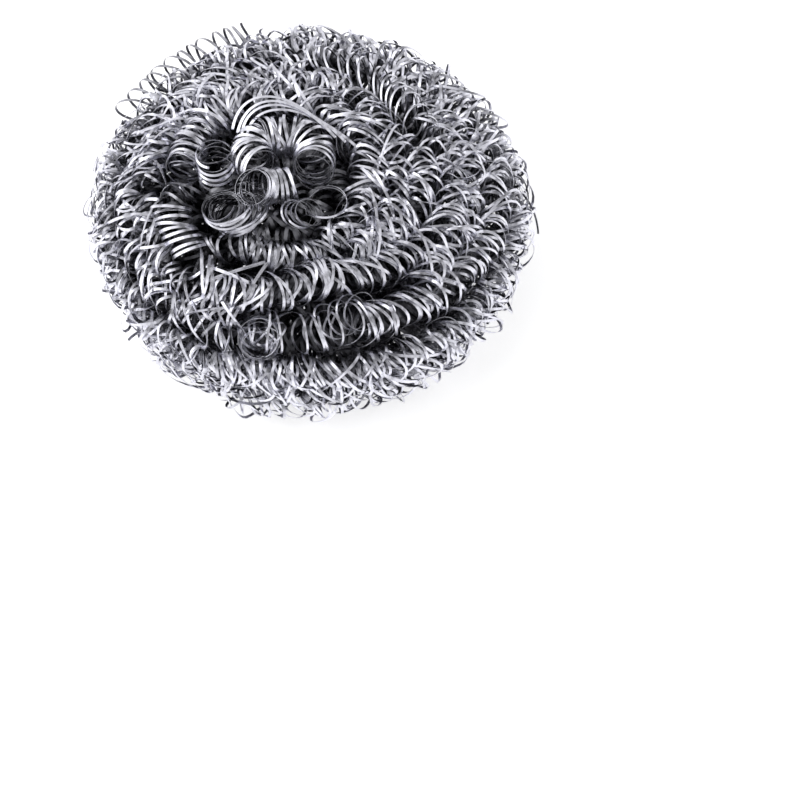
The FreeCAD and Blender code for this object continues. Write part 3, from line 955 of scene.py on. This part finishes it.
# painted shade: the curls are darkened on their inner faces and the rings in the mouth are darkened
curl_look = dict(segments=44, gather=0.15, depth=0.05, inside=1.4, darkest=1.3)
ring_look = dict(segments=44, gather=0.15, depth=0.8, inside=-0.5, tone=0.3, start=1.0, width=0.34 * MM)

for number, ((name, radius, pitch, width, tilt, mess), points) in enumerate(CURLS):
    axis = bent_axis(*points)
    near_mouth = np.clip(1 - (axis.length - axis.run) / MOUTH_RUN, 0.0, 1.0)
    pitch_here = pitch * MM * (1 + MOUTH_SPREAD * near_mouth)
    seed = 500 + 40 * number
    strips = [
        coil(axis, seed, pitch_here, radius * MM, mess, tone=0.85, width=width * MM, roll=tilt, **curl_look),
        coil(axis, seed + 20, 2.4 * MM, 0.9 * radius * MM, 0.6, **ring_look),
    ]
    piece(name + "_ribbon", strips, "bright_ribbon", name)

# %% Fanned curl at the front
fan_axis = facing_axis((-12.9, -9.7, 33.0), (-17.3, -11.6, 37.0), (-0.2, 0.12, 0.95))
fan_radius = np.linspace(5.2, 3.6, len(fan_axis.run)) * MM
fan_strips = [
    coil(fan_axis, 660, 0.55 * MM, fan_radius, 0.30, tone=0.4, width=0.42 * MM, roll=0.4, **curl_look),
    coil(fan_axis, 680, 1.3 * MM, 0.85 * fan_radius, 0.5, tone=0.6, width=0.5 * MM, **curl_look),
]
piece("front_curl_ribbon", fan_strips, "bright_ribbon", "front_curl")

# %% [markdown]
# ## Open ends on the side
# Further out, one end lies along the left of the rosette and one looks out at the front. Beside them ribbon has
# sprung into loose, thin loops. The left end is wound along its lap, so that it stays in line with its strand,
# and the front one on a short bent line. Loops could be wound in the same way, but they should be seen as open
# rings, so most of them share one fixed normal.

# %% Left side curl
left_axis = lap_axis(0.848, 0.935)
left_radius = np.interp(left_axis.laps, (0.848, 0.870, 0.935), (4.4, 3.6, 3.4)) * MM
left_look = dict(opening=math.radians(15), slant=math.radians(-28), tone=0.55, width=0.62 * MM, **curl_look)
left_strip = coil(left_axis, 700, 1.3 * MM, left_radius, 0.3, **left_look)
piece("left_side_curl_ribbon", [left_strip], "bright_ribbon", "left_side_curl")

# %% Front end curl
front_axis = bent_axis((-9.6, -31.8, 23.6), (-9.7, -32.8, 25.0), (-9.8, -33.9, 26.4), (-9.9, -34.8, 27.8))
across_axis = bent_axis((-12.0, -32.6, 25.2), (-10.8, -33.0, 26.0), (-9.0, -33.2, 26.2), (-7.6, -33.0, 25.8))
# painted shade: slight on the outer side, more on the inner face
front_look = dict(segments=40, depth=0.1, inside=0.35, width=0.45 * MM)
front_strips = [
    coil(front_axis, 720, 0.85 * MM, 3.9 * MM, 0.35, roll=0.3, tone=0.8, **front_look),
    coil(front_axis, 730, 1.2 * MM, 3.0 * MM, 1.5, roll=0.5, tone=0.8, start=1.0, **front_look),
    coil(across_axis, 742, 1.0 * MM, 2.6 * MM, 1.5, roll=0.6, tone=0.9, start=2.0, **front_look),
    coil(across_axis, 754, 1.3 * MM, 2.0 * MM, 1.8, roll=0.6, tone=0.9, start=3.0, **front_look),
]
piece("front_end_curl_ribbon", front_strips, "bright_ribbon", "front_end_curl")

# %% Loose loops
# painted shade: some on the outer side, more on the inner face
loop_look = dict(segments=44, depth=0.2, inside=0.4, width=0.42 * MM)
front_loops_axis = facing_axis((3.0, -31.0, 28.6), (10.0, -29.6, 28.8), (0.6, -0.35, 0.7))
front_loop_strips = [
    coil(lap_axis(2.03, 2.135), 740, 2.9 * MM, 3.9 * MM, 0.6, 0.5, tone=0.7, aside=-2.8 * MM, **loop_look),
    coil(front_loops_axis, 750, 2.6 * MM, 3.6 * MM, roll=0.3, **loop_look),
]
piece("loose_front_loops_ribbon", front_loop_strips, "bright_ribbon", "loose_front_loops")

wide_loop_axis = facing_axis((2.8, -9.0, 34.8), (3.0, -9.3, 36.0), (0.0, 0.28, 0.96))
small_loops_axis = facing_axis((-3.8, -11.2, 34.6), (0.2, -11.0, 34.6), (0.4, -0.3, 0.86))
rosette_loop_strips = [
    coil(wide_loop_axis, 760, 0.8 * MM, 4.0 * MM, roll=0.4, **loop_look),
    coil(small_loops_axis, 770, 1.2 * MM, 2.8 * MM, roll=0.3, **loop_look),
]
piece("loose_rosette_loops_ribbon", rosette_loop_strips, "bright_ribbon", "loose_rosette_loops")

# %% [markdown]
# ## Studio
# The scrubber lies on a plain white table under soft light. A wide box light hangs above and behind on the left,
# another one stands on the left, and weaker ones fill from the front and the right. Small lamps would burn white
# spots into the ribbon, so the boxes are large. The table glows a little where it is looked at, so that it stays
# white without lighting the scrubber from below. The walls are bright near the table and dim higher up, so that
# polished ribbon shows both bright and dark sides.

# %% Table
TABLE_HALF = 3.0
TABLE_GLOW = 0.55

floor_mesh = bpy.data.meshes.new("table")
corners = [(x * TABLE_HALF, y * TABLE_HALF, 0) for x, y in ((-1, -1), (1, -1), (1, 1), (-1, 1))]
floor_mesh.from_pydata(corners, [], [(0, 1, 2, 3)])
table = bpy.data.objects.new("table", floor_mesh)
bpy.context.scene.collection.objects.link(table)
white = bpy.data.materials.new("white_table")
white.use_nodes = True
tree = white.node_tree
shader = tree.nodes["Principled BSDF"]
shader.inputs["Base Color"].default_value = (0.92, 0.92, 0.92, 1.0)
shader.inputs["Roughness"].default_value = 0.9
shader.inputs["Emission Color"].default_value = (1.0, 1.0, 1.0, 1.0)
rays = add_node(tree, "ShaderNodeLightPath")
seen = reckon(tree, "MAXIMUM", rays.outputs["Is Camera Ray"], rays.outputs["Is Glossy Ray"])
seen_through = reckon(tree, "MAXIMUM", seen, rays.outputs["Is Transmission Ray"])
glow = reckon(tree, "MULTIPLY", seen_through, TABLE_GLOW)
tree.links.new(glow, shader.inputs["Emission Strength"])
floor_mesh.materials.append(white)
print("table", 2 * TABLE_HALF, "m wide")

# %% Lamps
LAMP_AIM = Vector((0, 0, 0.02))
LAMPS = (
    # name, place and side in m, power in W
    ("key_box", (-0.35, 0.25, 0.75), 1.10, 3.0),
    ("front_box", (0.25, -0.55, 0.80), 0.70, 1.0),
    ("left_box", (-0.65, -0.05, 0.50), 1.00, 4.0),
    ("fill_box", (0.65, 0.10, 0.45), 0.60, 0.9),
)
for name, place, side, power in LAMPS:
    lamp = bpy.data.lights.new(name, "AREA")
    lamp.shape = "SQUARE"
    lamp.size = side
    lamp.energy = power
    holder = bpy.data.objects.new(name, lamp)
    holder.location = place
    holder.rotation_euler = (LAMP_AIM - Vector(place)).to_track_quat("-Z", "Y").to_euler()
    bpy.context.scene.collection.objects.link(holder)
print("lamps", [name for name, *_ in LAMPS])

# %% World
world = bpy.data.worlds.new("white_walls_dim_ceiling")
world.use_nodes = True
tree = world.node_tree
direction = add_node(tree, "ShaderNodeTexCoord")
height = add_node(tree, "ShaderNodeSeparateXYZ")
wall = add_node(tree, "ShaderNodeMapRange", interpolation_type="SMOOTHSTEP")
for label, value in (("From Min", 0.20), ("From Max", 0.60), ("To Min", 1.0), ("To Max", 0.17)):
    wall.inputs[label].default_value = value
tree.links.new(direction.outputs["Generated"], height.inputs["Vector"])
tree.links.new(height.outputs["Z"], wall.inputs["Value"])
tree.links.new(wall.outputs["Result"], tree.nodes["Background"].inputs["Color"])
bpy.context.scene.world = world
bpy.context.scene.view_settings.view_transform = "Standard"
print("world", world.name)

# %% [markdown]
# ## Camera
# The photo looks down at the scrubber from the front at about 62 degrees, from far enough away that near and
# far parts look the same size. A long lens at 0.42 m gives that, aimed so that the scrubber sits upper left in
# the frame.

# %% Camera
ELEVATION = math.radians(62.0)
DISTANCE = 0.422
lens = bpy.data.cameras.new("photo_camera")
lens.lens = 100.0
lens.sensor_width = 36.0
camera = bpy.data.objects.new("photo_camera", lens)
aim = Vector((0.0169, -0.0436, 0.020))
back = Vector((0.0, -math.cos(ELEVATION), math.sin(ELEVATION)))
camera.location = aim + back * DISTANCE
camera.rotation_euler = (-back).to_track_quat("-Z", "Y").to_euler()
bpy.context.scene.collection.objects.link(camera)
bpy.context.scene.camera = camera
print("camera at", [round(x, 3) for x in camera.location])
